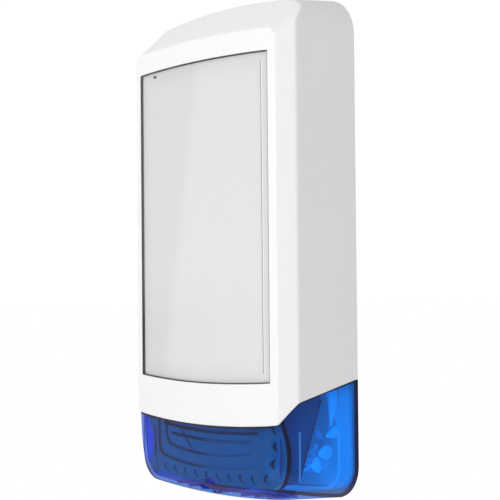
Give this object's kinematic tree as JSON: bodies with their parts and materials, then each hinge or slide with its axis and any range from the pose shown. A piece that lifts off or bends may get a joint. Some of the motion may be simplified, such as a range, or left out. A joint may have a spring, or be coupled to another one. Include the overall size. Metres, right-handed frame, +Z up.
{
  "type": "outdoor alarm siren",
  "caption": "Tall wall-mounted alarm siren: arched white cover with a grey front panel over a clear blue strobe lens, hinged at the top on a wall plate.",
  "frame": {"origin": "centre of the wall plate's back face, where the siren meets the wall", "axes": "+X to the right seen from the front, +Y into the wall, +Z up; the front of the cover faces -Y"},
  "size_m": [0.1774, 0.0604, 0.3262],
  "materials": {
    "cover_white": "smooth, moulded gloss",
    "plate_white": "fine moulded texture",
    "lens_blue": "clear blue polycarbonate",
    "insert_grey": "satin sheet",
    "window_clear": "clear polycarbonate",
    "steel": "zinc-plated",
    "brass": "turned",
    "rubber_black": "matt",
    "board_green": "solder mask",
    "terminal_green": "moulded",
    "component_black": "moulded epoxy",
    "capacitor_blue": "sleeved can",
    "connector_ivory": "nylon",
    "level_green": "tinted vial",
    "cell_green": "shrink sleeve",
    "lead_red": "vinyl insulation",
    "housing_grey": "moulded",
    "reflector_grey": "moulded",
    "board_white": "white solder mask",
    "led_amber": "clear epoxy dome"
  },
  "bodies": {
    "base": {"back_plate": "plate_white", "cable_grommet": "rubber_black", "spirit_level": "level_green", "hinge_pins": "steel", "screw_insert": "brass", "circuit_board": "board_green", "board_screws": "steel", "terminal_block": "terminal_green", "terminal_screws": "steel", "board_chips": "component_black", "board_capacitors": "capacitor_blue", "drive_transformer": "component_black", "drive_transistors": "component_black", "program_header": "component_black", "board_connectors": "connector_ivory", "tamper_switch": "component_black", "tamper_spring": "steel", "wall_spring": "steel", "battery_cells": "cell_green", "battery_strap": "component_black", "battery_lead": "lead_red", "sounder_housing": "housing_grey", "housing_screws": "steel", "piezo_driver": "component_black", "piezo_disc": "brass", "sounder_lead": "lead_red", "strobe_reflector": "reflector_grey", "reflector_screws": "steel", "strobe_boards": "board_white", "strobe_leds": "led_amber"},
    "cover": {"cover_shell": "cover_white", "blue_lens": "lens_blue", "lens_screws": "steel", "front_insert": "insert_grey", "insert_window": "window_clear", "screw_retainer": "connector_ivory"},
    "screw_seal": {"screw_o_ring": "rubber_black"},
    "cover_screw": {"cover_screw": "steel"},
    "tamper_plunger": {"tamper_plunger": "connector_ivory"},
    "wall_plunger": {"wall_plunger": "connector_ivory"}
  },
  "joints": [
    {"name": "cover_hinge", "type": "hinge", "parent": "base", "child": "cover", "pos_m": [0, -0.014, 0.1545], "axis": [-1, 0, 0], "range_deg": [0, 100]},
    {"name": "screw_travel", "type": "slide", "parent": "cover", "child": "screw_seal", "axis": [0, -1, 0], "range_m": [0, 0.008]},
    {"name": "screw_turn", "type": "hinge", "parent": "screw_seal", "child": "cover_screw", "pos_m": [0, -0.02, -0.1555], "axis": [0, -1, 0], "range_deg": [0, 4115]},
    {"name": "tamper_travel", "type": "slide", "parent": "base", "child": "tamper_plunger", "axis": [0, -1, 0], "range_m": [0, 0.003], "deforming": ["tamper_spring"]},
    {"name": "wall_travel", "type": "slide", "parent": "base", "child": "wall_plunger", "axis": [0, 1, 0], "range_m": [0, 0.003], "deforming": ["wall_spring"]}
  ],
  "couplings": [
    {"joint": "screw_turn", "follows": "screw_travel", "rad_per_m": 8976},
    {"joint": "tamper_travel", "follows": "cover_hinge", "m_per_rad": 0.0017188}
  ]
}
